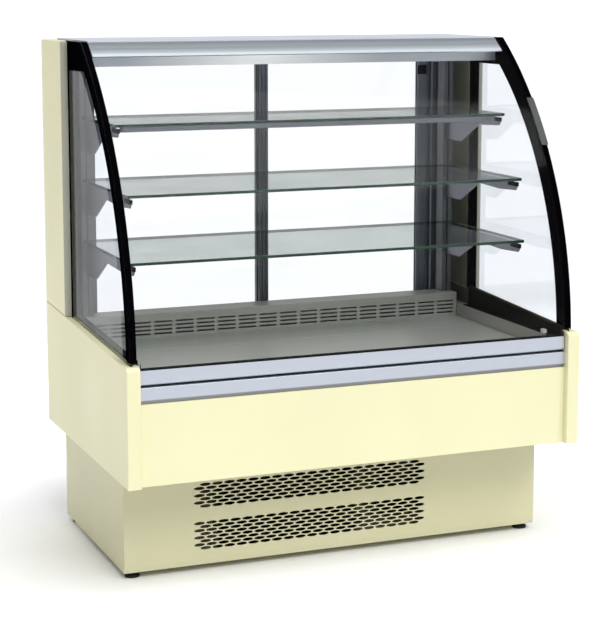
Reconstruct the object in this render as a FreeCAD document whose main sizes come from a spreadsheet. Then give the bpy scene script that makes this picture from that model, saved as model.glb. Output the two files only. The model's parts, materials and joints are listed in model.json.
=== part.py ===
"""Refrigerated deli case: a counter-height insulated well on a recessed machine base, under a
curved front glass, two glass ends, three glass shelves and two sliding rear doors.

Frame: +Z up, the front faces -Y, +X to the right of someone standing in front of it.
Origin: the middle of the footprint, on the floor. Millimetres.
"""

import FreeCAD
import Part
import math
import os

from FreeCAD import Placement, Rotation, Vector

import Sketcher

SIZES = {
    # whole case
    "case_width": 1250, "case_depth": 780, "case_height": 1350,
    "sheet_metal": 1.5,
    # machine base, set back under the well
    "foot_gap": 17, "foot_inset": 28, "foot_radius": 19,
    "base_gap": 0.5, "base_front": 167, "base_length": 565, "base_top": 282, "tray_wall": 9,
    "angle_leg": 30, "angle_wall": 3, "rail_side": 25,
    # slots of the front grille
    "slot_length": 29, "slot_height": 8.4, "slot_pitch": 32.9, "slot_row": 9.5, "slot_columns": 20,
    "slot_left": 223.5, "upper_slots": 167, "upper_rows": 7, "lower_slots": 55.5, "lower_rows": 8,
    # side panels and rear columns
    "side_wall": 36, "side_nose": 578, "side_front": 582, "side_rear": 621, "side_ledge": 16,
    "column_front": 565, "column_seat": 585, "column_top": 1346, "column_round": 11, "edge_round": 3,
    "nose_round": 9,
    # glass
    "end_glass": 8, "glass_groove": 10, "end_glass_rear": 577,
    "glass_sheet": 6, "glass_radius": 1000, "glass_front": 20, "glass_axis_height": 545,
    "glass_top": 1348, "glass_foot": 556, "glass_wing": 588, "glass_wing_inset": 16,
    "border": 54, "border_top": 76, "border_rear": 29, "border_side": 18, "film": 0.4, "seal": 3,
    # front: cream panel, bumper, tilting holder
    "front_face": 17, "front_panel_top": 487.7, "bumper_bottom": 495.3, "bumper_top": 529,
    "bumper_face": 15.5, "bumper_back": 38, "holder_top": 571.5, "holder_back": 32.5,
    "knuckle_radius": 8.5, "hinge_height": 542.5, "holder_gap": 4, "pin_radius": 4,
    # well and deck
    "foam_side": 23, "foam_floor": 40, "liner_front": 60, "liner_rear": 700, "liner_rim": 565,
    "liner_sheet": 1, "rear_skin": 760, "rear_skin_top": 520, "deck_level": 530, "deck_rear": 599,
    "deck_seam": 442, "pan_depth": 16, "duct_top": 598, "duct_back": 672,
    # shelves
    "drain_place": 340, "coil_middle": 480, "liquid_line": 430, "suction_line": 456,
    "upright_front": 630, "upright_depth": 40, "upright_inner": 530, "upright_width": 30,
    "arm_groove": 8, "shelf_half": 555, "shelf_sheet": 8, "shelf_back": 628,
    "top_level": 1144, "top_front": 309, "middle_level": 975, "middle_front": 207,
    "bottom_level": 808, "bottom_front": 187,
    # canopy
    "canopy_half": 588, "canopy_skin": 3.5, "canopy_front": 430, "canopy_back": 748,
    # sliding doors
    "track_front": 700, "track_depth": 72, "track_floor": 541, "track_roof": 1306,
    "groove_width": 16, "jamb_inner": 527, "stile": 42, "meeting_stile": 26, "door_sheet": 14,
    "door_bottom": 545, "door_top": 1302, "door_rail": 28, "inner_door": 712, "outer_door": 740,
    # machinery
    "fan_radius": 60, "fan_bore": 4.05, "fan_shaft": 4,
}

doc = FreeCAD.newDocument("deli_case")
sheet = doc.addObject("Spreadsheet::Sheet", "Sizes")
for row, (alias, number) in enumerate(SIZES.items(), start=1):
    sheet.set(f"A{row}", alias)
    sheet.set(f"B{row}", str(number))
    sheet.setAlias(f"B{row}", alias)
doc.recompute()


class Dim:
    """A length that knows its number and the sheet formula that gives it."""

    def __init__(self, number, formula):
        self.number = number
        self.formula = formula

    def _join(self, other, sign, number):
        return Dim(number, f"({self.formula} {sign} {text(other)})")

    def __add__(self, other):
        return self._join(other, "+", self.number + value(other))

    def __sub__(self, other):
        return self._join(other, "-", self.number - value(other))

    def __mul__(self, other):
        return self._join(other, "*", self.number * value(other))

    def __truediv__(self, other):
        return self._join(other, "/", self.number / value(other))

    def __rsub__(self, other):
        return Dim(other - self.number, f"({other} - {self.formula})")

    def __neg__(self):
        return Dim(-self.number, f"(-1 * {self.formula})")

    __radd__ = __add__
    __rmul__ = __mul__


def text(length):
    return length.formula if isinstance(length, Dim) else str(length)


def value(length):
    return length.number if isinstance(length, Dim) else length


def size(alias):
    return Dim(float(sheet.get(alias)), f"Sizes.{alias}")


def bind(thing, prop, length):
    thing.setExpression(prop, text(length))


def sorted_pair(one, other):
    return (one, other) if value(one) < value(other) else (other, one)


HALF = size("case_width") / 2
SIDE = HALF - size("side_wall")
BASE_HALF = SIDE - size("base_gap")
SHEET = size("sheet_metal")
LINER_HALF = SIDE - size("foam_side")
BASE_TOP = size("base_top") + SHEET
WELL_FLOOR = BASE_TOP + SHEET + size("foam_floor")
TURN = {
    "X": Rotation(Vector(0, 1, 0), 90),
    "Y": Rotation(Vector(1, 0, 0), -90),
    "Z": Rotation(),
}


def back(distance):
    """Y of a plane that lies this far behind the front of the side panels."""
    return size("case_depth") / -2 + distance


GLASS_AXIS_Y = back(size("glass_front")) + size("glass_radius")
GLASS_AXIS_Z = size("glass_axis_height")


# ---------------------------------------------------------------- building blocks
def place(thing, corner, turn=Rotation()):
    thing.Placement = Placement(Vector(*(value(c) for c in corner)), turn)
    for axis, coordinate in zip("xyz", corner):
        bind(thing, f"Placement.Base.{axis}", coordinate)


def box(name, x, y, z):
    """A block between two planes on each axis, each given as (low, high)."""
    block = doc.addObject("Part::Box", name)
    for prop, (low, high) in zip(("Length", "Width", "Height"), (x, y, z)):
        bind(block, prop, high - low)
    place(block, (x[0], y[0], z[0]))
    return block


def rod(name, axis, start, radius, length):
    bar = doc.addObject("Part::Cylinder", name)
    bind(bar, "Radius", radius)
    bind(bar, "Height", length)
    place(bar, start, TURN[axis])
    return bar


def cone(name, axis, start, radius_low, radius_high, length):
    taper = doc.addObject("Part::Cone", name)
    bind(taper, "Radius1", radius_low)
    bind(taper, "Radius2", radius_high)
    bind(taper, "Height", length)
    place(taper, start, TURN[axis])
    return taper


def fuse(name, parts):
    whole = doc.addObject("Part::MultiFuse", name)
    whole.Shapes = parts
    return whole


def common(name, parts):
    overlap = doc.addObject("Part::MultiCommon", name)
    overlap.Shapes = parts
    return overlap


def cut(name, base, tools):
    tool = tools[0] if len(tools) == 1 else fuse(name + "_tools", tools)
    rest = doc.addObject("Part::Cut", name)
    rest.Base = base
    rest.Tool = tool
    return rest


def together(name, parts):
    """Separate solids that make one sub-part."""
    compound = doc.addObject("Part::Compound", name)
    compound.Links = parts
    return compound


def mirrored(name, source):
    """The other hand of a sub-part, across the middle of the case."""
    twin = doc.addObject("Part::Mirroring", name)
    twin.Source = source
    twin.Normal = Vector(1, 0, 0)
    return twin


def both_hands(name, source):
    return together(name, [source, mirrored(name + "_twin", source)])


def feature(name, shape):
    thing = doc.addObject("Part::Feature", name)
    thing.Shape = shape
    thing.Placement = Placement()
    return thing


def outline(body, name, role, points):
    """A closed sketch of straight lines; each corner is held by its two coordinates."""
    sketch = body.newObject("Sketcher::SketchObject", name)
    plane = next(item for item in body.Origin.OriginFeatures if item.Role == role)
    sketch.AttachmentSupport = [(plane, "")]
    sketch.MapMode = "FlatFace"
    corners = [Vector(value(a), value(b), 0) for a, b in points]
    count = len(corners)
    for i in range(count):
        sketch.addGeometry(Part.LineSegment(corners[i], corners[(i + 1) % count]), False)
    for i in range(count):
        sketch.addConstraint(Sketcher.Constraint("Coincident", i, 2, (i + 1) % count, 1))
    for i, pair in enumerate(points):
        for kind, coordinate in zip(("DistanceX", "DistanceY"), pair):
            number = float(value(coordinate))
            held = sketch.addConstraint(Sketcher.Constraint(kind, -1, 1, i, 1, number))
            sketch.setExpression(f"Constraints[{held}]", text(coordinate))
    return sketch


def extrusion(name, points, start, end, role="YZ_Plane"):
    """A body padded from an outline; YZ outlines run along X, XY outlines along Z."""
    body = doc.addObject("PartDesign::Body", name)
    sketch = outline(body, name + "_outline", role, points)
    bind(sketch, "AttachmentOffset.Base.z", start)
    pad = body.newObject("PartDesign::Pad", name + "_pad")
    pad.Profile = sketch
    bind(pad, "Length", end - start)
    return body


def round_edges(name, base, radius, wanted):
    """Fillets the edges of base whose middle point and direction pass the test."""
    doc.recompute()
    edges = []
    for number, edge in enumerate(base.Shape.Edges, start=1):
        middle = edge.valueAt((edge.FirstParameter + edge.LastParameter) / 2)
        along = edge.tangentAt((edge.FirstParameter + edge.LastParameter) / 2)
        if wanted(middle, along):
            edges.append((number, value(radius), value(radius)))
    rounded = doc.addObject("Part::Fillet", name)
    rounded.Base = base
    rounded.Edges = edges
    return rounded


def side_top(distance):
    """Height of a side panel's sloping top edge, this far behind its front."""
    rise = (size("side_rear") - size("side_front")) / size("case_depth")
    return size("side_front") + rise * distance


def slope_points(start, end, below, above):
    """Outline of a strip along the side panel's top edge, between two offsets from it."""
    return [(back(start), side_top(start) + below), (back(end), side_top(end) + below),
            (back(end), side_top(end) + above), (back(start), side_top(start) + above)]


def lens_sheet(name, x, y, z, rows):
    """A flat sheet in the XZ plane with rows of lens-shaped slots, each row half a pitch on
    from the last. rows holds (first x, height, number of slots)."""
    lows = Vector(value(x[0]), value(y[0]), value(z[0]))
    wide, tall = value(x[1] - x[0]), value(z[1] - z[0])
    corners = [lows, lows + Vector(wide, 0, 0), lows + Vector(wide, 0, tall), lows + Vector(0, 0, tall)]
    wires = [Part.makePolygon(corners + corners[:1])]
    long_half = SIZES["slot_length"] / 2
    short_half = SIZES["slot_height"] / 2
    for first, height, count in rows:
        for column in range(count):
            centre = Vector(first + column * SIZES["slot_pitch"], lows.y, height)
            tip = centre + Vector(long_half, 0, 0)
            side = centre + Vector(0, 0, short_half)
            wires.append(Part.Wire([Part.Ellipse(tip, side, centre).toShape()]))
    face = Part.Face(wires, "Part::FaceMakerBullseye")
    return feature(name, face.extrude(Vector(0, value(y[1] - y[0]), 0)))


def slot_rows(left, lowest, count, long_first):
    """Rows from the lowest up; long rows hold one slot more than the rows between them."""
    rows = []
    for i in range(count):
        long_row = (i % 2 == 0) == long_first
        shift = 0 if long_row else SIZES["slot_pitch"] / 2
        columns = SIZES["slot_columns"] - (0 if long_row else 1)
        first = left + SIZES["slot_length"] / 2 + shift
        rows.append((first, lowest + SIZES["slot_height"] / 2 + i * SIZES["slot_row"], columns))
    return rows


def tube(points, radius, bend):
    """A round bar along straight runs joined by arcs of the same radius."""
    edges = []
    start = Vector(*points[0])
    for before, corner, after in zip(points, points[1:], points[2:]):
        corner = Vector(*corner)
        arrive = (corner - Vector(*before)).normalize()
        leave = (Vector(*after) - corner).normalize()
        half_turn = arrive.getAngle(leave) / 2
        reach = bend * math.tan(half_turn)
        first = corner - arrive * reach
        last = corner + leave * reach
        inward = (leave - arrive).normalize()
        middle = corner + inward * (bend / math.cos(half_turn) - bend)
        edges.append(Part.LineSegment(start, first).toShape())
        edges.append(Part.Arc(first, middle, last).toShape())
        start = last
    edges.append(Part.LineSegment(start, Vector(*points[-1])).toShape())
    path = Part.Wire(edges)
    heading = Vector(*points[1]) - Vector(*points[0])
    section = Part.Wire([Part.makeCircle(radius, Vector(*points[0]), heading)])
    return path.makePipeShell([section], True, False)


# ---------------------------------------------------------------- machine base
def foot_places():
    reach_x = BASE_HALF - size("foot_inset")
    near = back(size("base_front") + size("foot_inset"))
    far = near + size("base_length") - size("foot_inset") * 2
    return [(x, y) for x in (-reach_x, reach_x) for y in (near, far)]


def make_levelling_feet():
    """Black foot, steel stem and lock nut, screwed through the base tray."""
    feet = []
    for i, (x, y) in enumerate(foot_places()):
        pad = rod(f"foot_pad_{i}", "Z", (x, y, 0), size("foot_radius"), 6)
        crown = cone(f"foot_crown_{i}", "Z", (x, y, 6), size("foot_radius"), 11, 5)
        stem = rod(f"foot_stem_{i}", "Z", (x, y, 10), 6, 28)
        nut = rod(f"foot_nut_{i}", "Z", (x, y, size("foot_gap") + SHEET), 10, 8)
        feet.append(fuse(f"foot_{i}", [pad, crown, stem, nut]))
    return together("levelling_feet", feet)


def make_base_floor():
    """Folded tray that carries the machinery, with its rim turned up all round."""
    low = size("foot_gap")
    front = back(size("base_front"))
    rear = front + size("base_length")
    block = box("tray_block", (-BASE_HALF, BASE_HALF), (front, rear), (low, low + size("tray_wall")))
    hollow = box("tray_hollow", (-BASE_HALF + SHEET, BASE_HALF - SHEET),
                 (front + SHEET, rear - SHEET), (low + SHEET, low + size("tray_wall") + 1))
    holes = [rod(f"tray_hole_{i}", "Z", (x, y, 0), 6.5, 40) for i, (x, y) in enumerate(foot_places())]
    return cut("base_floor", block, [hollow] + holes)


def make_base_front_grille():
    """Front sheet with two bands of staggered lens slots and a flange at its top."""
    low = size("foot_gap") + size("tray_wall")
    face = back(size("base_front"))
    left = SIZES["slot_left"] - SIZES["case_width"] / 2
    rows = slot_rows(left, SIZES["upper_slots"], SIZES["upper_rows"], False)
    rows += slot_rows(left, SIZES["lower_slots"], SIZES["lower_rows"], False)
    skin = lens_sheet("base_front_skin", (-BASE_HALF, BASE_HALF), (face, face + SHEET),
                      (low, BASE_TOP), rows)
    flange = box("base_front_flange", (-BASE_HALF + SHEET, BASE_HALF - SHEET), (face + SHEET, face + 14),
                 (BASE_TOP - SHEET, BASE_TOP))
    return fuse("base_front_grille", [skin, flange])


def make_base_sides():
    low = size("foot_gap") + size("tray_wall")
    top = BASE_TOP
    front = back(size("base_front")) + SHEET
    rear = back(size("base_front")) + size("base_length") - SHEET
    skin = box("base_side_skin", (-BASE_HALF, -BASE_HALF + SHEET), (front, rear), (low, top))
    flange = box("base_side_flange", (-BASE_HALF + SHEET, -BASE_HALF + 14), (front + 14, rear - 14),
                 (top - SHEET, top))
    return both_hands("base_sides", fuse("base_side", [skin, flange]))


def make_base_rear_grille():
    """Service sheet at the back with one wide band of slots and a hole for the cable gland."""
    low = size("foot_gap") + size("tray_wall")
    face = back(size("base_front")) + size("base_length")
    left = -SIZES["slot_pitch"] * SIZES["slot_columns"] / 2
    rows = slot_rows(left, SIZES["lower_slots"] + 40, SIZES["lower_rows"] + 3, True)
    skin = lens_sheet("base_rear_skin", (-BASE_HALF, BASE_HALF), (face - SHEET, face),
                      (low, BASE_TOP), rows)
    x, z = gland_place()
    hole = rod("gland_hole", "Y", (x, face - 10, z), 8, 20)
    return cut("base_rear_grille", skin, [hole])


def make_base_frame():
    """Four angle posts on the tray and four square rails between their tops."""
    low = size("foot_gap") + SHEET
    top = BASE_TOP - SHEET
    leg, wall, side = size("angle_leg"), size("angle_wall"), size("rail_side")
    x0 = -BASE_HALF + SHEET
    front = back(size("base_front")) + SHEET
    rear = back(size("base_front")) + size("base_length") - SHEET
    parts = []
    for name, y, inward in (("front", front, 1), ("rear", rear, -1)):
        reach = sorted_pair(y, y + inward * leg)
        skin = sorted_pair(y, y + inward * wall)
        across = box(f"post_{name}_a", (x0, x0 + leg), skin, (low, top))
        along = box(f"post_{name}_b", (x0, x0 + wall), reach, (low, top))
        post = fuse(f"post_{name}", [across, along])
        parts += [post, mirrored(f"post_{name}_twin", post)]
        span = sorted_pair(y + inward * wall, y + inward * (wall + side))
        parts.append(box(f"rail_{name}", (x0 + wall, -x0 - wall), span, (top - side, top)))
    reach = wall + side
    side_rail = box("rail_side", (x0 + wall, x0 + reach), (front + reach, rear - reach),
                    (top - side, top))
    parts += [side_rail, mirrored("rail_side_twin", side_rail)]
    return together("base_frame", parts)


def gland_place():
    return -size("case_width") * 0.4, size("foot_gap") + 45


def make_cable_gland():
    """Gland body for the mains lead, clamped in the rear sheet."""
    x, z = gland_place()
    face = back(size("base_front")) + size("base_length")
    collar = rod("gland_collar", "Y", (x, face, z), 12, 6)
    dome = cone("gland_dome", "Y", (x, face + 6, z), 10.5, 8, 12)
    thread = rod("gland_thread", "Y", (x, face - 12, z), 8, 12)
    nut = rod("gland_nut", "Y", (x, face - SHEET - 5, z), 12, 5)
    bore = rod("gland_bore", "Y", (x, face - 20, z), 4.5, 50)
    return cut("cable_gland", fuse("gland_body", [collar, dome, thread, nut]), [bore])


def make_panel_screws():
    """Round-headed screws of the outer sheets."""
    front = back(size("base_front"))
    rear = front + size("base_length")
    low = size("foot_gap") + size("tray_wall") / 2
    reach = BASE_HALF - 8
    spots = [(x, front - 1.2, low) for x in (-reach, reach)]
    spots += [(x, rear, z) for x in (-reach, reach) for z in (size("foot_gap") + 20, size("base_top") - 15)]
    spots += [(x, back(size("rear_skin")), z) for x in (-reach, reach)
              for z in (size("base_top") + 30, size("rear_skin_top") - 20)]
    heads = [rod(f"screw_{i}", "Y", spot, 3, 1.2) for i, spot in enumerate(spots)]
    return together("panel_screws", heads)


# ---------------------------------------------------------------- cabinet
def make_side_panel():
    """Moulded end panel: a straight nose, a sloping top edge and a groove for the end glass."""
    low = size("base_top")
    nose = back(0.0)
    points = [(nose, low), (back(size("case_depth")), low), (back(size("case_depth")), size("side_rear")),
              (back(size("nose_round")), side_top(size("nose_round"))),
              (nose, size("side_nose") - size("nose_round") / 3)]
    panel = extrusion("side_panel_block", points, -HALF, -SIDE)
    reach = value(size("case_depth")) / 2
    outer = value(-HALF) + 0.1
    soft = round_edges("side_panel_soft", panel, size("edge_round"),
                       lambda p, t: p.x < outer or (p.y < -reach + 12 and p.z > value(low) + 1))
    depth = size("glass_groove")
    ledge = size("side_ledge")
    start, end = size("glass_front") + 2, size("case_depth") - 40
    groove = extrusion("side_groove", slope_points(start, end, -depth, 20), -HALF + ledge,
                       -HALF + ledge + size("end_glass"))
    pin_hole = rod("side_pin_hole", "X", (-SIDE - 16, hinge_y(), size("hinge_height")),
                   size("pin_radius"), 20)
    return cut("side_panel_left", soft, [groove, pin_hole])


def hinge_y():
    return back(size("bumper_face")) + size("knuckle_radius")


def make_rear_column():
    """Post that carries the canopy; a rounded lip covers the rear edge of the end glass."""
    start, end = size("column_front"), size("case_depth")
    seam = 1
    points = [(back(start), side_top(start) + seam), (back(end), side_top(end) + seam),
              (back(end), size("column_top")), (back(start), size("column_top"))]
    block = extrusion("rear_column_block", points, -HALF, -SIDE)
    outer, front = value(-HALF) + 0.1, value(back(start)) + 0.1
    lip = round_edges("rear_column_lip", block, size("column_round"),
                      lambda p, t: p.x < outer and p.y < front and abs(t.z) > 0.9)
    soft = round_edges("rear_column_soft", lip, size("edge_round"),
                       lambda p, t: p.x < outer and p.y > front + 20)
    seat = box("column_seat", (-HALF + size("side_ledge"), -SIDE + 1),
               (back(start) - 1, back(size("column_seat"))), (500, size("column_top") + 10))
    return cut("rear_column_left", soft, [seat])


def make_front_panel():
    """Cream front sheet, folded back at the top and the bottom."""
    face = back(size("front_face"))
    low, top = size("base_top"), size("front_panel_top")
    points = [(face, low), (face + 43, low), (face + 43, low + SHEET), (face + SHEET, low + SHEET),
              (face + SHEET, top - SHEET), (face + 20, top - SHEET), (face + 20, top), (face, top)]
    sheet_body = extrusion("front_panel_sheet", points, -SIDE, SIDE)
    front = value(face) + 0.1
    return round_edges("front_panel", sheet_body, 1.2, lambda p, t: p.y < front and abs(t.x) > 0.9)


def well_holes(name, drain_radius):
    """Cutters for the drain and the two refrigerant lines, through the floor of the well."""
    low, tall = BASE_TOP - 5, size("foam_floor") + 20
    coil_y = back(size("coil_middle"))
    holes = [rod(name + "_drain", "Z", (0, back(size("drain_place")), low), drain_radius, tall)]
    for line in ("liquid_line", "suction_line"):
        holes.append(rod(f"{name}_{line}", "Z", (-size(line), coil_y, low), 7, tall))
    return holes


def make_well_outer_shell():
    """One folded sheet: the underside of the well and its back."""
    low = BASE_TOP
    rear = back(size("rear_skin"))
    start = back(size("front_face") + 3)
    points = [(start, low), (rear, low), (rear, size("rear_skin_top")), (rear - 2, size("rear_skin_top")),
              (rear - 2, low + SHEET), (start, low + SHEET)]
    shell = extrusion("well_shell_sheet", points, -SIDE, SIDE)
    return cut("well_outer_shell", shell, well_holes("shell_hole", 13.5))


def make_well_insulation():
    """Foam slabs: floor, front, back and two ends."""
    low = BASE_TOP + SHEET
    floor = low + size("foam_floor")
    front, inner = back(size("front_face") + 3), back(size("liner_front"))
    rear, skin = back(size("liner_rear")), back(size("rear_skin")) - 2
    top = size("front_panel_top") - SHEET
    floor_block = box("foam_floor_block", (-SIDE, SIDE), (front, skin), (low, floor))
    slabs = [
        cut("foam_floor_slab", floor_block, well_holes("foam_hole", 13.5)),
        box("foam_front_slab", (-SIDE, SIDE), (front, inner), (floor, top)),
        box("foam_rear_slab", (-SIDE, SIDE), (rear, skin), (floor, size("rear_skin_top"))),
        box("foam_left_slab", (-SIDE, -LINER_HALF), (inner, rear), (floor, size("liner_rim") - 1)),
        box("foam_right_slab", (LINER_HALF, SIDE), (inner, rear), (floor, size("liner_rim") - 1)),
    ]
    return together("well_insulation", slabs)


def make_well_liner():
    """Stainless tank of the well, its end rims turned out over the foam."""
    floor = WELL_FLOOR
    skin = size("liner_sheet")
    front, rear, rim = back(size("liner_front")), back(size("liner_rear")), size("liner_rim")
    tank = box("liner_block", (-LINER_HALF, LINER_HALF), (front, rear), (floor, rim))
    hollow = box("liner_hollow", (-LINER_HALF + skin, LINER_HALF - skin), (front + skin, rear - skin),
                 (floor + skin, rim + 10))
    low_rear = box("liner_low_rear", (-LINER_HALF - 1, LINER_HALF + 1), (rear - skin * 2, rear + 1),
                   (size("rear_skin_top"), rim + 10))
    rims = box("liner_rim_left", (-SIDE, -LINER_HALF), (front, rear), (rim - 1, rim))
    open_tank = cut("liner_open", tank, [hollow, low_rear] + well_holes("liner_hole", 10))
    return fuse("well_liner", [open_tank, rims, mirrored("liner_rim_right", rims)])


def make_drain_pipe():
    """From the floor of the tank down into the condensate tray."""
    drain_y, end = back(size("drain_place")), size("foot_gap") + 40
    pipe = rod("drain_wall", "Z", (0, drain_y, end), 13, WELL_FLOOR - end)
    bore = rod("drain_bore", "Z", (0, drain_y, end - 1), 10, 400)
    return cut("drain_pipe", pipe, [bore])


def make_side_trims():
    """Dark angle at the foot of each end glass: an upstand whose top covers the inner lip of
    the side panel, and a leg over the rim of the tank."""
    start, end, rim = size("bumper_back"), size("column_front"), size("liner_rim")
    points = [(back(start), rim), (back(end), rim), (back(end), side_top(end) + 9),
              (back(start), side_top(start) + 9)]
    upstand = extrusion("side_upstand", points, -SIDE, -SIDE + 4)
    cover = extrusion("side_cover", slope_points(start, size("end_glass_rear") - 1, 0.3, 9),
                      -SIDE - 10.5, -SIDE)
    leg = box("side_leg", (-SIDE, -SIDE + 21), (back(size("liner_front")), back(end)), (rim, rim + 2))
    return both_hands("side_trims", fuse("side_trim", [upstand, cover, leg]))


def make_rim_stop():
    """White stop on the right rim, behind the foot of the front glass."""
    low = size("liner_rim") + 2
    block = box("stop_block", (LINER_HALF - 2, LINER_HALF + 8), (back(88.0), back(104.0)), (low, low + 11))
    top = value(low) + 10.9
    return round_edges("rim_stop", block, 2, lambda p, t: p.z > top)


# ---------------------------------------------------------------- glass
def arc_block(name, radius, x, z_low, z_high):
    """The part of a lying cylinder about the front glass's axis that is in front of that axis."""
    drum = rod(name + "_drum", "X", (x[0], GLASS_AXIS_Y, GLASS_AXIS_Z), radius, x[1] - x[0])
    keep = box(name + "_keep", x, (GLASS_AXIS_Y - size("glass_radius") - 10, GLASS_AXIS_Y - 10),
               (z_low, z_high))
    return common(name, [drum, keep])


def arc_sheet(name, inner, outer, x, z_low, z_high):
    """A curved sheet between two radii about the front glass's axis."""
    hollow = rod(name + "_hollow", "X", (x[0] - 1, GLASS_AXIS_Y, GLASS_AXIS_Z), inner, x[1] - x[0] + 2)
    return cut(name, arc_block(name + "_solid", outer, x, z_low, z_high), [hollow])


def make_end_glass():
    """Flat end panes with a curved front edge, seated in the side panels and the columns."""
    x = (-HALF + size("side_ledge"), -HALF + size("side_ledge") + size("end_glass"))
    radius = size("glass_radius") - size("glass_sheet") - size("seal")
    depth, rear = size("glass_groove"), size("end_glass_rear")
    start = size("glass_front")
    top = size("glass_top")
    points = [(back(start), side_top(start) - depth), (back(rear), side_top(rear) - depth),
              (back(rear), top), (back(start), top)]
    blank = extrusion("end_glass_blank", points, x[0], x[1])
    round_front = arc_block("end_glass_front", radius, x, 500, size("glass_top"))
    return both_hands("end_glass", common("end_pane", [blank, round_front]))


def make_end_film():
    """Black print on the inside of the left end pane, round a clear window."""
    inner_face = -HALF + size("side_ledge") + size("end_glass")
    film = (inner_face, inner_face + size("film"))
    wide = (film[0] - 1, film[1] + 1)
    radius = size("glass_radius") - size("glass_sheet") - size("seal")
    rear, top, low = size("end_glass_rear"), size("glass_top"), side_top(size("glass_front")) + 1
    whole = arc_block("film_whole", radius, film, low, top)
    behind = box("film_behind", wide, (back(rear), back(1100.0)), (low - 1, top + 1))
    arc_window = arc_block("film_window_arc", radius - size("border"), wide, low - 10,
                           top - size("border_top"))
    window_box = box("film_window_box", wide, (back(0.0), back(rear) - size("border_rear")), (low - 10, top))
    window = common("film_window", [arc_window, window_box])
    below = extrusion("film_below", slope_points(0.0, size("deck_rear"), -60, 0.4), wide[0], wide[1])
    return cut("film_left", whole, [behind, window, below])


def make_end_seals():
    """Seals of the left end pane: a lip round its curved front edge and a strip behind it."""
    pane = -HALF + size("side_ledge")
    inner_face = pane + size("end_glass")
    radius = size("glass_radius") - size("glass_sheet") - size("seal")
    top = size("glass_top")
    lip = arc_sheet("seal_lip", radius - 9, radius + size("seal") - 0.8, (pane - 2.5, inner_face + 3),
                    size("glass_wing") + 2, top)
    seat = arc_block("seal_seat", radius, (pane, inner_face + size("film")), 500, top + 10)
    start, end, high = size("end_glass_rear"), size("column_seat"), size("column_top")
    points = [(back(start), side_top(start) + 1), (back(end), side_top(end) + 1), (back(end), high),
              (back(start), high)]
    strip = extrusion("seal_strip", points, pane, -SIDE - 0.5)
    return [cut("seal_front", lip, [seat]), strip]


def make_end_glass_edging():
    """Black print on each end pane, and the seals round its edges."""
    left = [make_end_film()] + make_end_seals()
    right = [mirrored(f"edging_twin_{i}", part) for i, part in enumerate(left)]
    return together("end_glass_edging", left + right)


def make_front_glass():
    """Bent pane over both end panes; its lower corners are notched to clear the side panels."""
    wide = HALF - size("glass_wing_inset")
    narrow = SIDE - size("holder_gap") - 2
    radius = size("glass_radius")
    pane = arc_sheet("front_pane", radius - size("glass_sheet"), radius, (-wide, wide),
                     size("glass_foot"), size("glass_top"))
    notches = [box(f"front_notch_{i}", sorted_pair(side * narrow, side * (wide + 5)), (back(0.0), back(60.0)),
                   (500, size("glass_wing"))) for i, side in enumerate((-1, 1))]
    return cut("front_glass", pane, notches)


def make_front_glass_border():
    """Black print along both side edges of the bent pane, on its inside."""
    wide = HALF - size("glass_wing_inset")
    radius = size("glass_radius") - size("glass_sheet")
    strip = arc_sheet("border_strip", radius - size("film"), radius, (-wide, -wide + size("border_side")),
                      size("glass_wing") + 1, size("glass_top"))
    return both_hands("front_glass_border", strip)


def make_front_glass_grip():
    """Dark finger grip clipped on the right edge of the bent pane."""
    wide = HALF - size("glass_wing_inset")
    radius = size("glass_radius")
    low, high = 1067, 1189
    plate = arc_sheet("grip_plate", radius, radius + 2.5, (wide - size("border_side"), wide + 2), low, high)
    lip = arc_sheet("grip_lip", radius - size("glass_sheet"), radius + 2.5, (wide, wide + 2), low, high)
    return fuse("front_glass_grip", [plate, lip])


def make_glass_holder(front_glass):
    """Aluminium profile that grips the foot of the bent pane and turns on two pins."""
    reach = SIDE - size("holder_gap")
    face = back(size("bumper_face"))
    bar = box("holder_bar", (-reach, reach), (face, back(size("holder_back"))),
              (size("hinge_height"), size("holder_top")))
    knuckle = rod("holder_knuckle", "X", (-reach, hinge_y(), size("hinge_height")),
                  size("knuckle_radius"), reach * 2)
    bores = [rod(f"holder_bore_{i}", "X", (start, hinge_y(), size("hinge_height")),
                 size("pin_radius") + 0.05, 22) for i, start in enumerate((-reach - 1, reach - 21))]
    return cut("glass_holder", fuse("holder_blank", [bar, knuckle]), [front_glass] + bores)


def make_glass_gasket(front_glass):
    """Black seal on the holder, on both sides of the bent pane."""
    reach = SIDE - size("holder_gap")
    top = size("holder_top")
    strip = box("gasket_strip", (-reach, reach), (back(size("bumper_face") + 1), back(size("holder_back"))),
                (top, top + 3.5))
    return cut("glass_gasket", strip, [front_glass])


def make_glass_hinge_pins():
    pin = rod("hinge_pin", "X", (-SIDE - 16, hinge_y(), size("hinge_height")), size("pin_radius"),
              size("holder_gap") + 16 + 18)
    return both_hands("glass_hinge_pins", pin)


def make_bumper_profile():
    """Fixed lower aluminium band, standing on the cream panel by a narrow neck."""
    face, neck, rear = back(size("bumper_face")), back(size("bumper_face")) + 6, back(size("bumper_back"))
    low, foot, top = size("bumper_bottom"), size("front_panel_top"), size("bumper_top")
    points = [(face, low), (neck, low), (neck, foot), (rear, foot), (rear, top), (face, top)]
    bar = extrusion("bumper_bar", points, -SIDE, SIDE)
    front = value(face) + 0.1
    return round_edges("bumper_profile", bar, 1.5, lambda p, t: p.y < front and abs(t.x) > 0.9)


def make_front_sill():
    """Inner front rail between the bumper and the well."""
    start, end = back(size("bumper_back")), back(size("liner_front"))
    low, top = size("front_panel_top") - SHEET, size("liner_rim")
    points = [(start, low), (end, low), (end, top), (start + 6, top), (start, top - 6)]
    return extrusion("front_sill", points, -SIDE, SIDE)


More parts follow.
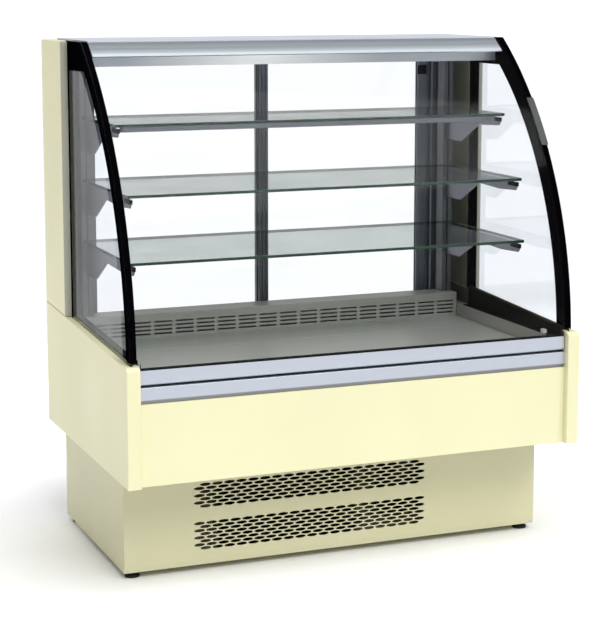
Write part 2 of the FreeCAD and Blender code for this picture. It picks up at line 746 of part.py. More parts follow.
# ---------------------------------------------------------------- deck and air
def make_deck_pan(name, start, end, slot_count):
    """A pan with turned-down edges; the return-air slots run along its front."""
    reach = LINER_HALF - size("liner_sheet") - 2
    level, depth, skin, pitch = size("deck_level"), size("pan_depth"), 1.2, 42
    block = box(f"pan_{name}_block", (-reach, reach), (back(start), back(end)), (level - depth, level))
    cuts = [box(f"pan_{name}_hollow", (-reach + skin, reach - skin), (back(start) + skin, back(end) - skin),
                (level - depth - 1, level - skin))]
    for i in range(slot_count):
        centre = (i - (slot_count - 1) / 2) * pitch
        cuts.append(box(f"return_slot_{i}", (centre - 15, centre + 15), (back(start) + 12, back(start) + 18),
                        (level - 5, level + 5)))
    return cut(f"pan_{name}", block, cuts)


def make_deck_pans():
    """Two stainless pans, and the three cross rails that carry them."""
    start, seam, end = size("liner_front") + 4, size("deck_seam"), size("deck_rear")
    parts = [make_deck_pan("front", start, seam, 26), make_deck_pan("rear", seam + 2, end, 0)]
    reach = LINER_HALF - size("liner_sheet")
    top = size("deck_level") - size("pan_depth")
    for i, rail_start in enumerate((start, seam - 12, end - 26)):
        rail_y = (back(rail_start), back(rail_start) + 25)
        parts.append(box(f"deck_rail_{i}", (-reach, reach), rail_y, (top - 12, top)))
    return together("deck_pans", parts)


def make_air_outlet_grille():
    """Folded duct cover behind the deck: slotted front, flat top, back, and a foot to the door track."""
    start, end = back(size("deck_rear") + 1), back(size("duct_back"))
    foot, top, low = back(size("track_front")), size("duct_top"), size("deck_level") - size("pan_depth")
    skin = 1.5
    shelf = size("rear_skin_top")
    points = [(start, low), (start + skin, low), (start + skin, top - skin), (end - skin, top - skin),
              (end - skin, shelf), (foot, shelf), (foot, shelf + skin), (end, shelf + skin),
              (end, top), (start, top)]
    reach = LINER_HALF - size("liner_sheet") - 1
    cover = extrusion("duct_cover", points, -reach, reach)
    slots = []
    columns, pitch, rows = 18, 62, 4
    for i in range(columns):
        for j in range(rows):
            centre = (i - (columns - 1) / 2) * pitch
            height = size("deck_level") + 8 + j * 11
            slots.append(box(f"outlet_slot_{i}_{j}", (centre - 26, centre + 26),
                             (start - 1, start + 5), (height, height + 5)))
    return cut("air_outlet_grille", cover, slots)


def make_shelf_uprights():
    """Square uprights behind the shelves, one at each end, grooved to take the arms."""
    inner = size("upright_inner")
    start, low, top = back(size("upright_front")), size("duct_top"), size("track_roof") + 34
    post = box("upright_post", (-inner - size("upright_width"), -inner),
               (start, start + size("upright_depth")), (low, top))
    low_x, high_x = bracket_plane()
    groove = box("upright_groove", (low_x - 0.3, high_x + 0.3), (start - 1, start + size("arm_groove")),
                 (low - 1, top + 1))
    return both_hands("shelf_uprights", cut("upright", post, [groove]))


def make_shelf(name, level, front):
    """Glass shelf with a small round on its front and end edges."""
    pane = box(name + "_pane", (-size("shelf_half"), size("shelf_half")),
               (back(size(front)), back(size("shelf_back"))),
               (size(level) - size("shelf_sheet"), size(level)))
    edge = value(back(size(front))) + 0.1
    return round_edges(name, pane, 1.5, lambda p, t: p.y < edge and abs(t.x) > 0.9)


def shelf_list():
    return (("top_level", "top_front"), ("middle_level", "middle_front"), ("bottom_level", "bottom_front"))


def bracket_plane():
    middle = -size("upright_inner") - size("upright_width") / 2
    return middle - 2, middle + 2


def make_shelf_brackets():
    """Plate arms with a deep heel in the upright's groove and a shallow tip with a pad seat."""
    arms = []
    low_x, high_x = bracket_plane()
    for level, front in shelf_list():
        top = size(level) - size("shelf_sheet")
        tip = back(size(front)) + 4
        heel = back(size("upright_front")) + size("arm_groove")
        seat = 48
        points = [(tip, top - 15), (tip + seat, top - 15), (tip + seat, top), (heel, top),
                  (heel, top - 88), (heel - 93, top - 88), (heel - 107, top - 82), (heel - 206, top - 27),
                  (tip + 100, top - 31), (tip + 9, top - 26)]
        arm = extrusion(f"arm_{level}", points, low_x, high_x)
        arms += [arm, mirrored(f"arm_{level}_twin", arm)]
    return together("shelf_brackets", arms)


def make_bracket_pads():
    """Black rubber pads in the tips of the arms; the shelf stands 2 mm clear of each tip."""
    pads = []
    low_x, high_x = bracket_plane()
    for level, front in shelf_list():
        top = size(level) - size("shelf_sheet")
        tip = back(size(front)) + 4
        block = box(f"pad_block_{level}", (low_x - 2, high_x + 2), (tip, tip + 48), (top - 15, top - 4))
        knob = box(f"pad_knob_{level}", (low_x, high_x), (tip + 34, tip + 48), (top - 4, top))
        pad = fuse(f"pad_{level}", [block, knob])
        pads += [pad, mirrored(f"pad_{level}_twin", pad)]
    return together("bracket_pads", pads)


def make_shelf_light():
    """Slim lamp rail under the front of the top shelf."""
    reach = size("shelf_half") - 22
    start = back(size("top_front")) + 14
    top = size("top_level") - size("shelf_sheet")
    points = [(start, top - 13), (start + 14, top - 15), (start + 24, top - 4), (start + 24, top),
              (start, top)]
    return extrusion("shelf_light", points, -reach, reach)


# ---------------------------------------------------------------- canopy
def arc_y(height, radius):
    """Y on a circle about the front glass's axis, at this height, as a sheet formula."""
    rise = height - GLASS_AXIS_Z
    number = math.sqrt(value(radius) ** 2 - value(rise) ** 2)
    return GLASS_AXIS_Y - Dim(number, f"sqrt({text(radius)} ^ 2 - {text(rise)} ^ 2)")


def make_canopy_profile():
    """Front extrusion: two facets and a lip that follow the glass, above a recessed lamp face."""
    radius = size("glass_radius") - size("glass_sheet") - 1.5
    top = size("case_height") - size("canopy_skin")
    facet, lip, edge, under, low = top - 15.5, top - 28, top - 34.5, top - 37.5, top - 62.5
    recess = back(size("canopy_front"))
    points = [(arc_y(top, radius), top), (arc_y(facet, radius) + 1.5, facet), (arc_y(lip, radius), lip),
              (arc_y(edge, radius), edge), (arc_y(edge, radius) + 4, under), (recess, under), (recess, low),
              (recess + 12, low), (recess + 12, lip), (recess + 50, top)]
    return extrusion("canopy_profile", points, -size("canopy_half"), size("canopy_half"))


def make_canopy_top_panel():
    """Top sheet from the front extrusion to the door track, turned down at the back."""
    top, skin = size("case_height"), size("canopy_skin")
    start, end = back(size("canopy_front")) + 8, back(size("canopy_back"))
    foot = size("track_roof") + 34
    points = [(start, top - skin), (end - 2, top - skin), (end - 2, foot), (end, foot), (end, top),
              (start, top)]
    sheet_body = extrusion("canopy_sheet", points, -size("canopy_half"), size("canopy_half"))
    rear = value(end) - 0.1
    return round_edges("canopy_top_panel", sheet_body, 1.5,
                       lambda p, t: p.y > rear and abs(t.x) > 0.9 and p.z > value(top) - 1)


def make_canopy_light():
    """Lamp housing with a sloping diffuser, behind the front extrusion."""
    start = back(size("canopy_front")) + 12
    low = size("case_height") - size("canopy_skin") - 60
    points = [(start, low + 6), (start + 8, low), (start + 46, low), (start + 58, low + 10),
              (start + 58, low + 18), (start, low + 18)]
    reach = size("canopy_half") - 40
    return extrusion("canopy_light", points, -reach, reach)


# ---------------------------------------------------------------- sliding doors
def door_planes():
    return (("left", -1, size("inner_door")), ("right", 1, size("outer_door")))


def make_door_surround():
    """Fixed aluminium frame: a grooved track below and above, and a jamb at each end."""
    start, end = back(size("track_front")), back(size("track_front") + size("track_depth"))
    roof = size("track_roof")
    low = size("rear_skin_top")
    half_groove = size("groove_width") / 2
    grooves = []
    for name, _, plane in door_planes():
        middle = back(plane) + size("door_sheet") / 2
        for level, z in (("low", (low + 10.7, size("track_floor") + 1)), ("high", (roof - 1, roof + 22))):
            grooves.append(box(f"groove_{name}_{level}", (-SIDE - 1, SIDE + 1),
                               (middle - half_groove, middle + half_groove), z))
    floor = box("track_floor_bar", (-SIDE, SIDE), (start, end), (low, size("track_floor")))
    roof_bar = box("track_roof_bar", (-SIDE, SIDE), (start, end), (roof, roof + 34))
    inner = size("jamb_inner")
    corners = [(-SIDE, end), (-inner, end), (-inner, start), (-inner - 15, start),
               (-inner - 15, start + 4), (-inner - 18, start + 4), (-inner - 18, start),
               (-inner - 40, start), (-inner - 40, start + 10), (-SIDE, start + 10)]
    jamb = extrusion("jamb_bar", corners, size("track_floor"), roof, "XY_Plane")
    channels = []
    for name, _, plane in door_planes():
        middle = back(plane) + size("door_sheet") / 2
        channels.append(box(f"jamb_channel_{name}", (-inner - 16, -inner + 1),
                            (middle - half_groove - 1, middle + half_groove + 1),
                            (size("track_floor") - 1, roof + 1)))
    left = cut("jamb_left", jamb, channels)
    parts = [cut("track_low", floor, [grooves[0], grooves[2]]),
             cut("track_high", roof_bar, [grooves[1], grooves[3]]), left, mirrored("jamb_right", left)]
    return together("door_surround", parts)


def door_span(side):
    """Low and high X of a closed door: it reaches into its jamb and past the middle."""
    outer = size("jamb_inner") + 12
    over = size("meeting_stile") / 2
    return (-outer, over) if side < 0 else (-over, outer)


def stile_widths(side):
    """Widths of a door's left and right stiles; the one at the middle of the case is slimmer."""
    outer, meeting = size("stile"), size("meeting_stile")
    return (outer, meeting) if side < 0 else (meeting, outer)


def make_stile(name, left, wide, start):
    """Upright bar of a door with two shallow grooves down its front."""
    end = start + size("door_sheet")
    first, second, groove, deep = left + wide * 0.21, left + wide * 0.64, 3, 3
    corners = [(left, start)]
    for edge in (first, second):
        corners += [(edge, start), (edge, start + deep), (edge + groove, start + deep),
                    (edge + groove, start)]
    corners += [(left + wide, start), (left + wide, end), (left, end)]
    return extrusion(name, corners, size("door_bottom"), size("door_top"), "XY_Plane")


def make_door_frame(name, side, plane):
    """Two grooved stiles and two rails; a finger pull is cut in the back of the outer stile."""
    left, right = door_span(side)
    start, end = back(plane), back(plane) + size("door_sheet")
    low, high, rail = size("door_bottom"), size("door_top"), size("door_rail")
    left_wide, right_wide = stile_widths(side)
    pull_x = (left + 10, left + 20) if side < 0 else (right - 20, right - 10)
    pull = box(f"door_{name}_pull", pull_x, (end - 6, end + 1), (low + 240, low + 440))
    stiles = [make_stile(f"door_{name}_stile_a", left, left_wide, start),
              make_stile(f"door_{name}_stile_b", right - right_wide, right_wide, start)]
    outer = 0 if side < 0 else 1
    stiles[outer] = cut(f"door_{name}_pull_stile", stiles[outer], [pull])
    rails = [box(f"door_{name}_rail_{i}", (left + left_wide, right - right_wide), (start, end), z)
             for i, z in enumerate(((low, low + rail), (high - rail, high)))]
    return together(f"door_{name}_frame", stiles + rails)


def make_door_glides(name, side, plane):
    """Black shoes and guides in the tracks, and a cap near the top of the outer stile."""
    left, right = door_span(side)
    start = back(plane)
    low, high = size("door_bottom"), size("door_top")
    left_wide, right_wide = stile_widths(side)
    middle = start + size("door_sheet") / 2
    reach = (middle - size("groove_width") / 2 + 1, middle + size("groove_width") / 2 - 1)
    glides = []
    spans = ((left + 6, left + left_wide - 6), (right - right_wide + 6, right - 6))
    for i, across in enumerate(spans):
        glides.append(box(f"door_{name}_shoe_{i}", across, reach, (low - 14, low)))
        glides.append(box(f"door_{name}_guide_{i}", across, reach, (high, high + 12)))
    cap_x = (left + 14, left + left_wide) if side < 0 else (right - right_wide, right - 14)
    glides.append(box(f"door_{name}_cap", cap_x, (start - 2, start), (high - 69, high - 42)))
    return together(f"door_{name}_glides", glides)


def make_door(name, side, plane):
    """The three sub-parts of a sliding door."""
    left, right = door_span(side)
    left_wide, right_wide = stile_widths(side)
    start, inset, rail = back(plane), 3, size("door_rail")
    pane = box(f"door_{name}_glass", (left + left_wide, right - right_wide),
               (start + inset, start + size("door_sheet") - inset),
               (size("door_bottom") + rail, size("door_top") - rail))
    return make_door_frame(name, side, plane), pane, make_door_glides(name, side, plane)


# ---------------------------------------------------------------- refrigeration
def coil(name, x, y, z, fins, rows):
    """Finned block: thin fins on round tubes whose ends are joined by bends."""
    width, depth, height = x[1] - x[0], y[1] - y[0], z[1] - z[0]
    radius = 4.5
    pieces = []
    for i in range(fins):
        place_x = x[0] + width * i / (fins - 1)
        pieces.append(Part.makeBox(1.6, depth, height, Vector(place_x, y[0], z[0])))
    pitch = height / rows
    for j in range(rows):
        centre = Vector(x[0] - 12, (y[0] + y[1]) / 2, z[0] + pitch * (j + 0.5))
        pieces.append(Part.makeCylinder(radius, width + 24, centre, Vector(1, 0, 0)))
    for j in range(rows - 1):
        sign = 1 if j % 2 == 0 else -1
        end_x = x[1] + 12 if sign > 0 else x[0] - 12
        lower = Vector(end_x, (y[0] + y[1]) / 2, z[0] + pitch * (j + 0.5))
        section = Part.Face(Part.Wire([Part.makeCircle(radius, lower, Vector(1, 0, 0))]))
        pieces.append(section.revolve(lower + Vector(0, 0, pitch / 2), Vector(0, -sign, 0), 180))
    return feature(name, pieces[0].multiFuse(pieces[1:]))


def make_evaporator_coil():
    floor = value(WELL_FLOOR) + 20
    centre = value(back(size("coil_middle")))
    return coil("evaporator_coil", (-400, 400), (centre - 60, centre + 60), (floor, floor + 110), 34, 4)


def make_condenser_coil():
    front = value(back(size("base_front"))) + 24
    return coil("condenser_coil", (-300, 60), (front, front + 60), (40, 230), 26, 6)


def fan_rotor(name, centre, axis_sign):
    """Five pitched blades on a bored hub; the shaft lies along Y."""
    hub_radius, hub_length, blades = 20, 24, 5
    radius = SIZES["fan_radius"] - 4
    start = centre - Vector(0, hub_length / 2, 0)
    pieces = [Part.makeCylinder(hub_radius, hub_length, start, Vector(0, 1, 0))]
    for i in range(blades):
        blade = Part.makeBox(radius - hub_radius + 4, 2, 40, Vector(hub_radius - 4, -1, -20))
        blade.rotate(Vector(), Vector(1, 0, 0), 58 * axis_sign)
        blade.rotate(Vector(), Vector(0, 1, 0), 360 * i / blades)
        blade.translate(centre)
        pieces.append(blade)
    bore = Part.makeCylinder(SIZES["fan_bore"], hub_length + 2, start - Vector(0, 1, 0), Vector(0, 1, 0))
    trim = Part.makeCylinder(radius, 60, centre - Vector(0, 30, 0), Vector(0, 1, 0))
    return feature(name, pieces[0].multiFuse(pieces[1:]).common(trim).cut(bore))


def along_y(radius, centre, start, length):
    """A cylinder about the line along Y through centre."""
    return Part.makeCylinder(radius, length, Vector(centre.x, start, centre.z), Vector(0, 1, 0))


def fan_housing(name, centre, low, wide, tall, plate_y, motor_end):
    """Plate with a ring round the blades, and a motor on a cross bar behind them."""
    plate = Part.makeBox(wide, 2, tall, Vector(centre.x - wide / 2, plate_y, low))
    motor_start = centre.y + 19
    ring = along_y(SIZES["fan_radius"] + 4, centre, plate_y, 22)
    hole = along_y(SIZES["fan_radius"] + 1, centre, plate_y - 20, 60)
    motor = along_y(26, centre, motor_start, motor_end - motor_start)
    shaft = along_y(SIZES["fan_shaft"], centre, motor_start - 30, 32)
    reach = SIZES["fan_radius"] + 3
    bar = Part.makeBox(reach * 2, 4, 10, Vector(centre.x - reach, motor_start + 6, centre.z - 5))
    legs = [Part.makeBox(6, motor_start + 10 - plate_y, 10, Vector(centre.x + side, plate_y, centre.z - 5))
            for side in (-reach - 4, reach - 2)]
    body = plate.multiFuse([ring]).cut(hole).multiFuse([bar, motor, shaft] + legs)
    return feature(name, body)


def evaporator_fan_centre():
    floor = value(WELL_FLOOR)
    return Vector(0, value(back(size("deck_rear"))) + 40, floor + 2 + SIZES["fan_radius"] + 12)


def condenser_fan_centre():
    return Vector(-120, value(back(size("base_front"))) + 24 + 60 + 34, 135)


def make_compressor():
    """Welded steel shell on a foot plate with four rubber feet."""
    x, y, floor = 330, value(back(470)), SIZES["foot_gap"] + SIZES["sheet_metal"]
    shell = Part.makeCylinder(82, 130, Vector(x, y, floor + 30))
    lid = Part.makeCylinder(82, 40, Vector(x, y, floor + 159))
    dome = Part.makeSphere(104, Vector(x, y, floor + 96)).common(lid)
    sump = Part.makeCone(60, 82, 14, Vector(x, y, floor + 16))
    plate = Part.makeBox(210, 150, 4, Vector(x - 105, y - 75, floor + 13))
    feet = [Part.makeCylinder(14, 14, Vector(x + dx, y + dy, floor)) for dx in (-88, 88) for dy in (-58, 58)]
    cover = Part.makeBox(46, 60, 60, Vector(x + 60, y - 30, floor + 60))
    return feature("compressor", shell.multiFuse([dome, sump, plate, cover] + feet))


def make_refrigerant_pipes():
    """Discharge line to the condenser, liquid line through a drier, and suction line."""
    coil_y, side_y = value(back(size("coil_middle"))), value(back(500))
    front_y = value(back(size("base_front"))) + 54
    liquid_x, suction_x = -SIZES["liquid_line"], -SIZES["suction_line"]
    dome_y = value(back(470))
    discharge = tube([(330, dome_y, 218), (330, dome_y, 258), (-345, dome_y, 258), (-345, front_y, 258),
                      (-345, front_y, 214.2), (-312, front_y, 214.2)], 4, 14)
    liquid = tube([(-312, front_y, 55.8), (liquid_x, front_y, 55.8), (liquid_x, coil_y, 55.8),
                   (liquid_x, coil_y, 358.8), (-412, coil_y, 358.8)], 3.5, 12)
    suction = tube([(-412, coil_y, 441.2), (suction_x, coil_y, 441.2), (suction_x, coil_y, 235),
                    (suction_x, coil_y + 130, 235), (200, coil_y + 130, 235), (200, coil_y + 130, 60),
                    (200, side_y, 60), (254, side_y, 60)], 5, 16)
    drier = Part.makeCylinder(11, 90, Vector(liquid_x, coil_y - 160, 55.8), Vector(0, 1, 0))
    return feature("refrigerant_pipes", Part.makeCompound([discharge, liquid.fuse(drier), suction]))


def make_condensate_tray():
    """Shallow tray that catches the drain water on the base floor."""
    floor = size("foot_gap") + SHEET
    middle = back(size("drain_place"))
    block = box("tray_outer", (-110, 110), (middle - 40, middle + 110), (floor, floor + 55))
    hollow = box("tray_inner", (-108, 108), (middle - 38, middle + 108), (floor + 2, floor + 60))
    return cut("condensate_tray", block, [hollow])


# ---------------------------------------------------------------- controls
def control_place():
    return size("case_width") * 0.36, back(size("rear_skin")), size("rear_skin_top") - 110


def make_control_panel():
    """Shallow plastic housing on the back, with a spindle for the knob and a well for the switch."""
    x, y, z = control_place()
    block = box("control_block", (x, x + 120), (y, y + 8), (z, z + 60))
    spindle = rod("control_spindle", "Y", (x + 32, y + 6, z + 30), 3, 11)
    knob_x = (x + 78, x + 102)
    well = box("switch_well", knob_x, (y + 2, y + 9), (z + 11, z + 49))
    pivot = rod("switch_pivot", "X", (x + 78, y + 6, z + 30), 1.5, 24)
    return fuse("control_panel", [cut("control_shell", block, [well]), spindle, pivot])


def make_thermostat_knob():
    x, y, z = control_place()
    disc = rod("knob_disc", "Y", (x + 32, y + 8.4, z + 30), 16, 10)
    bore = rod("knob_bore", "Y", (x + 32, y + 8, z + 30), 3.05, 9.2)
    mark = box("knob_mark", (x + 31, x + 33), (y + 16.4, y + 19), (z + 32, z + 47))
    return cut("thermostat_knob", disc, [bore, mark])


def make_light_switch():
    """Rocker, at rest with its upper half pressed."""
    x, y, z = control_place()
    points = [(y + 3.2, z + 29), (y + 3.2, z + 31), (y + 5.2, z + 46.5), (y + 8, z + 46.5),
              (y + 10, z + 30), (y + 13, z + 13.5), (y + 9, z + 13.5)]
    rocker = extrusion("rocker_block", points, x + 79, x + 101)
    bore = rod("rocker_bore", "X", (x + 78, y + 6, z + 30), 1.55, 24)
    return cut("light_switch", rocker, [bore])


# ---------------------------------------------------------------- assembly
def build():
    front_glass = make_front_glass()
    side_panel, column = make_side_panel(), make_rear_column()
    nodes = [
        make_levelling_feet(), make_base_floor(), make_base_front_grille(), make_base_sides(),
        make_base_rear_grille(), make_base_frame(), make_cable_gland(), make_panel_screws(),
        side_panel, mirrored("side_panel_right", side_panel), column, mirrored("rear_column_right", column),
        make_front_panel(), make_well_outer_shell(), make_well_insulation(), make_well_liner(),
        make_drain_pipe(), make_side_trims(), make_end_glass(), make_end_glass_edging(),
        front_glass, make_front_glass_border(), make_front_glass_grip(), make_glass_holder(front_glass),
        make_glass_gasket(front_glass), make_glass_hinge_pins(), make_bumper_profile(), make_front_sill(),
        make_deck_pans(), make_rim_stop(), make_air_outlet_grille(), make_shelf_uprights(),
        make_shelf("shelf_top", "top_level", "top_front"),
        make_shelf("shelf_middle", "middle_level", "middle_front"),
        make_shelf("shelf_bottom", "bottom_level", "bottom_front"),
        make_shelf_brackets(), make_bracket_pads(), make_shelf_light(),
        make_canopy_top_panel(), make_canopy_profile(), make_canopy_light(), make_door_surround(),
    ]
    for name, side, plane in door_planes():
        nodes += make_door(name, side, plane)
    evaporator, condenser = evaporator_fan_centre(), condenser_fan_centre()
    floor = SIZES["foot_gap"] + SIZES["sheet_metal"]
    well_floor = value(WELL_FLOOR) + 1
    nodes += [
        make_evaporator_coil(), make_condenser_coil(),
        fan_rotor("evaporator_fan", evaporator, 1), fan_rotor("condenser_fan", condenser, -1),
        fan_housing("evaporator_fan_housing", evaporator, well_floor, 900, 175, evaporator.y - 12,
                    evaporator.y + 60),
        fan_housing("condenser_fan_housing", condenser, floor, 360, 220, condenser.y - 12, condenser.y + 70),
        make_compressor(), make_refrigerant_pipes(), make_condensate_tray(),
        make_control_panel(), make_thermostat_knob(), make_light_switch(),
    ]
    return nodes


def check(nodes):
    """Stops on a failed feature or a bad shape, before any file is written."""
    for item in doc.Objects:
        if "Invalid" in item.State or "Error" in item.State:
            raise RuntimeError(f"{item.Name} failed: {item.State}")
    for node in nodes:
        if node.Shape.isNull() or not node.Shape.isValid() or not node.Shape.Solids:
            raise RuntimeError(f"{node.Name} has a bad shape")


def write(nodes):
    os.makedirs("parts", exist_ok=True)
    for node in nodes:
        node.Label = node.Name
        node.Shape.exportStep(f"parts/{node.Label}.step")
        extent = node.Shape.BoundBox
        volume = node.Shape.Volume / 1000
        print(f"{node.Label:26s} solids {len(node.Shape.Solids):3d}  volume {volume:10.1f} cm3"
              f"  z {extent.ZMin:7.1f} to {extent.ZMax:7.1f}")


sub_parts = build()
doc.recompute()
check(sub_parts)
write(sub_parts)
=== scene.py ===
"""Looks of the refrigerated deli case: materials, light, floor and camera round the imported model."""

import json
import math

import bpy
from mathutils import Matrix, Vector

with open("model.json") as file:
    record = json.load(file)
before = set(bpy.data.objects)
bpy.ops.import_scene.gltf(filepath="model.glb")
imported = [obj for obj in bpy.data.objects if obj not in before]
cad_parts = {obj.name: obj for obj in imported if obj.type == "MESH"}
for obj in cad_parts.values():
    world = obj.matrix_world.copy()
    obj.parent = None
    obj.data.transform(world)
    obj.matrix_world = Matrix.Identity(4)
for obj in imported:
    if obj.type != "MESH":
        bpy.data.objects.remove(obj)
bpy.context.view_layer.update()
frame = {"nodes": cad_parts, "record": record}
NODES = frame["nodes"]


# ---------------------------------------------------------------- places
def low_corner(name):
    """Left, front, lowest corner of a CAD node's box at rest, in metres."""
    return Vector(NODES[name].bound_box[0])


def high_corner(name):
    """Right, rear, highest corner of a CAD node's box at rest, in metres."""
    return Vector(NODES[name].bound_box[6])


def change(place, start, end):
    """Start and end of a change of colour, each so far past a place."""
    return place + start, place + end


# Colour changes of painted shade and painted light on the columns, the side panels, the bumper, the
# right door and the canopy.
COLUMN = low_corner("rear_column_right")
LIP_FRONT = change(COLUMN.y, 0.008, 0.013)
INNER_FACE = change(COLUMN.x, 0.0002, 0.0008)
BEHIND_FRONT_PANEL = change(low_corner("front_panel").y, 0.007, 0.009)
BUMPER_LOWER_EDGE = change(low_corner("bumper_profile").z, 0.0091, 0.0115)
RIGHT_DOOR_BAR = change(high_corner("door_right_frame").x, -0.139, -0.129)
CANOPY_HIGHLIGHT_MIDDLE = -0.13
CANOPY_HIGHLIGHT_REACH = (0.02, 0.36)

# The end panes and the front glass are round about one axis. Their print covers the outer part of an
# end pane, its top, its rear and the ends of the front glass, and leaves the rest clear.
GLASS_RADIUS = 1.0
GLASS_AXIS_HEIGHT = 0.545
GLASS_FRONT_INSET = 0.02
PRINT_OUTER = 0.063
PRINT_TOP = 0.076
PRINT_REAR = 0.029
PRINT_SIDE = 0.018
PRINT_BLUR = (-0.0005, 0.0005)
CASE_FRONT = low_corner("side_panel_left").y
CLEAR_CENTRE = (0, CASE_FRONT + GLASS_FRONT_INSET + GLASS_RADIUS, GLASS_AXIS_HEIGHT)
CLEAR_RADIUS = change(GLASS_RADIUS - PRINT_OUTER, *PRINT_BLUR)
CLEAR_TOP = change(high_corner("end_glass").z - PRINT_TOP, *PRINT_BLUR)
CLEAR_REAR = change(high_corner("end_glass").y - PRINT_REAR, *PRINT_BLUR)
CLEAR_SIDE = change(high_corner("front_glass").x - PRINT_SIDE, *PRINT_BLUR)
LEFT_TO_RIGHT_PANE = (-0.3, 0.3)

# The floor's painted light, given off to lift the case's shadow, rises and falls again from front to
# back.
FLOOR_GLOW_START = (0.1, 0.9)
FLOOR_GLOW_END = (2, 3)

# Colour sockets of a Mix node, which share their names with its other sockets.
MIX_FIRST = 6
MIX_SECOND = 7
MIX_RESULT = 2

GLASS_IOR = 1.5


# ---------------------------------------------------------------- camera
def make_camera():
    """A long lens at the left front corner, a little above the case and pitched down."""
    pitch = math.radians(8.41)
    turn = math.radians(21.83)
    data = bpy.data.cameras.new("camera")
    data.sensor_width = 36
    data.lens = 102.47
    data.shift_x = 0.0129
    data.shift_y = -0.1
    camera = bpy.data.objects.new("camera", data)
    camera.location = (-1.7988, -4.3847, 1.4871)
    camera.rotation_euler = (math.radians(90) - pitch, 0, -turn)
    bpy.context.scene.collection.objects.link(camera)
    bpy.context.scene.camera = camera


# ---------------------------------------------------------------- shader building blocks
class Shader:
    """A material under construction: adds nodes and joins them."""

    def __init__(self, name):
        self.material = bpy.data.materials.new(name)
        self.material.use_nodes = True
        self.tree = self.material.node_tree
        self.surface = self.tree.nodes["Principled BSDF"]
        self.coordinates = self.tree.nodes.new("ShaderNodeTexCoord")

    def node(self, kind, **settings):
        made = self.tree.nodes.new("ShaderNode" + kind)
        for key, value in settings.items():
            setattr(made, key, value)
        return made

    def join(self, output, socket):
        self.tree.links.new(output, socket)

    def constant(self, **values):
        for key, value in values.items():
            self.surface.inputs[key.replace("_", " ")].default_value = value

    def noise(self, scale, detail=2.0, stretch=(1, 1, 1), roughness=0.5):
        mapping = self.node("Mapping")
        mapping.inputs["Scale"].default_value = stretch
        self.join(self.coordinates.outputs["Object"], mapping.inputs["Vector"])
        texture = self.node("TexNoise")
        texture.inputs["Scale"].default_value = scale
        texture.inputs["Detail"].default_value = detail
        texture.inputs["Roughness"].default_value = roughness
        self.join(mapping.outputs["Vector"], texture.inputs["Vector"])
        return texture.outputs["Fac"]

    def spread(self, value, low, high, start=0.3, end=0.7):
        """Maps a value from start..end, a noise's usual band, onto low..high."""
        ranged = self.node("MapRange")
        for socket, number in zip(("From Min", "From Max", "To Min", "To Max"), (start, end, low, high)):
            ranged.inputs[socket].default_value = number
        self.join(value, ranged.inputs["Value"])
        return ranged.outputs["Result"]

    def mix(self, factor, first, second):
        """Colour between first and second; each is a colour or another node's output."""
        blend = self.node("Mix", data_type="RGBA")
        self.join(factor, blend.inputs["Factor"])
        for socket, colour in ((blend.inputs[MIX_FIRST], first), (blend.inputs[MIX_SECOND], second)):
            if isinstance(colour, bpy.types.NodeSocket):
                self.join(colour, socket)
            else:
                socket.default_value = (*colour, 1)
        return blend.outputs[MIX_RESULT]

    def math(self, operation, first, second=None):
        step = self.node("Math", operation=operation)
        for socket, value in zip(step.inputs, (first, second)):
            if isinstance(value, bpy.types.NodeSocket):
                self.join(value, socket)
            elif value is not None:
                socket.default_value = value
        return step.outputs[0]

    def place(self, axis):
        """Distance along one axis, in metres, from the point on the floor under the middle."""
        split = self.node("SeparateXYZ")
        self.join(self.coordinates.outputs["Object"], split.inputs[0])
        return split.outputs[axis]

    def aside(self):
        """Distance to the left or right of the middle of the case."""
        return self.math("ABSOLUTE", self.place("X"))

    def past(self, value, change):
        """0 before the change, 1 after it."""
        return self.spread(value, 0, 1, *change)

    def until(self, value, change):
        """1 before the change, 0 after it."""
        return self.spread(value, 1, 0, *change)

    def soft_normal(self, radius):
        bevel = self.node("Bevel", samples=4)
        bevel.inputs["Radius"].default_value = radius
        return bevel.outputs["Normal"]

    def edges(self, radius):
        """1 along outside edges, 0 on open faces; the two normals differ only near an edge."""
        geometry = self.node("NewGeometry")
        dot = self.node("VectorMath", operation="DOT_PRODUCT")
        self.join(self.soft_normal(radius), dot.inputs[0])
        self.join(geometry.outputs["Normal"], dot.inputs[1])
        return self.spread(dot.outputs["Value"], 1, 0, 0.75, 0.985)

    def bump(self, height, strength, distance, normal=None):
        relief = self.node("Bump")
        relief.inputs["Strength"].default_value = strength
        relief.inputs["Distance"].default_value = distance
        self.join(height, relief.inputs["Height"])
        if normal is not None:
            self.join(normal, relief.inputs["Normal"])
        return relief.outputs["Normal"]


def linear(red, green, blue):
    """Scene colour of a display colour given as 0..255."""
    return tuple(
        c / 12.92 if c <= 0.04045 else ((c + 0.055) / 1.055) ** 2.4
        for c in (red / 255, green / 255, blue / 255))


def shade(colour, factor):
    return tuple(min(1, c * factor) for c in colour)


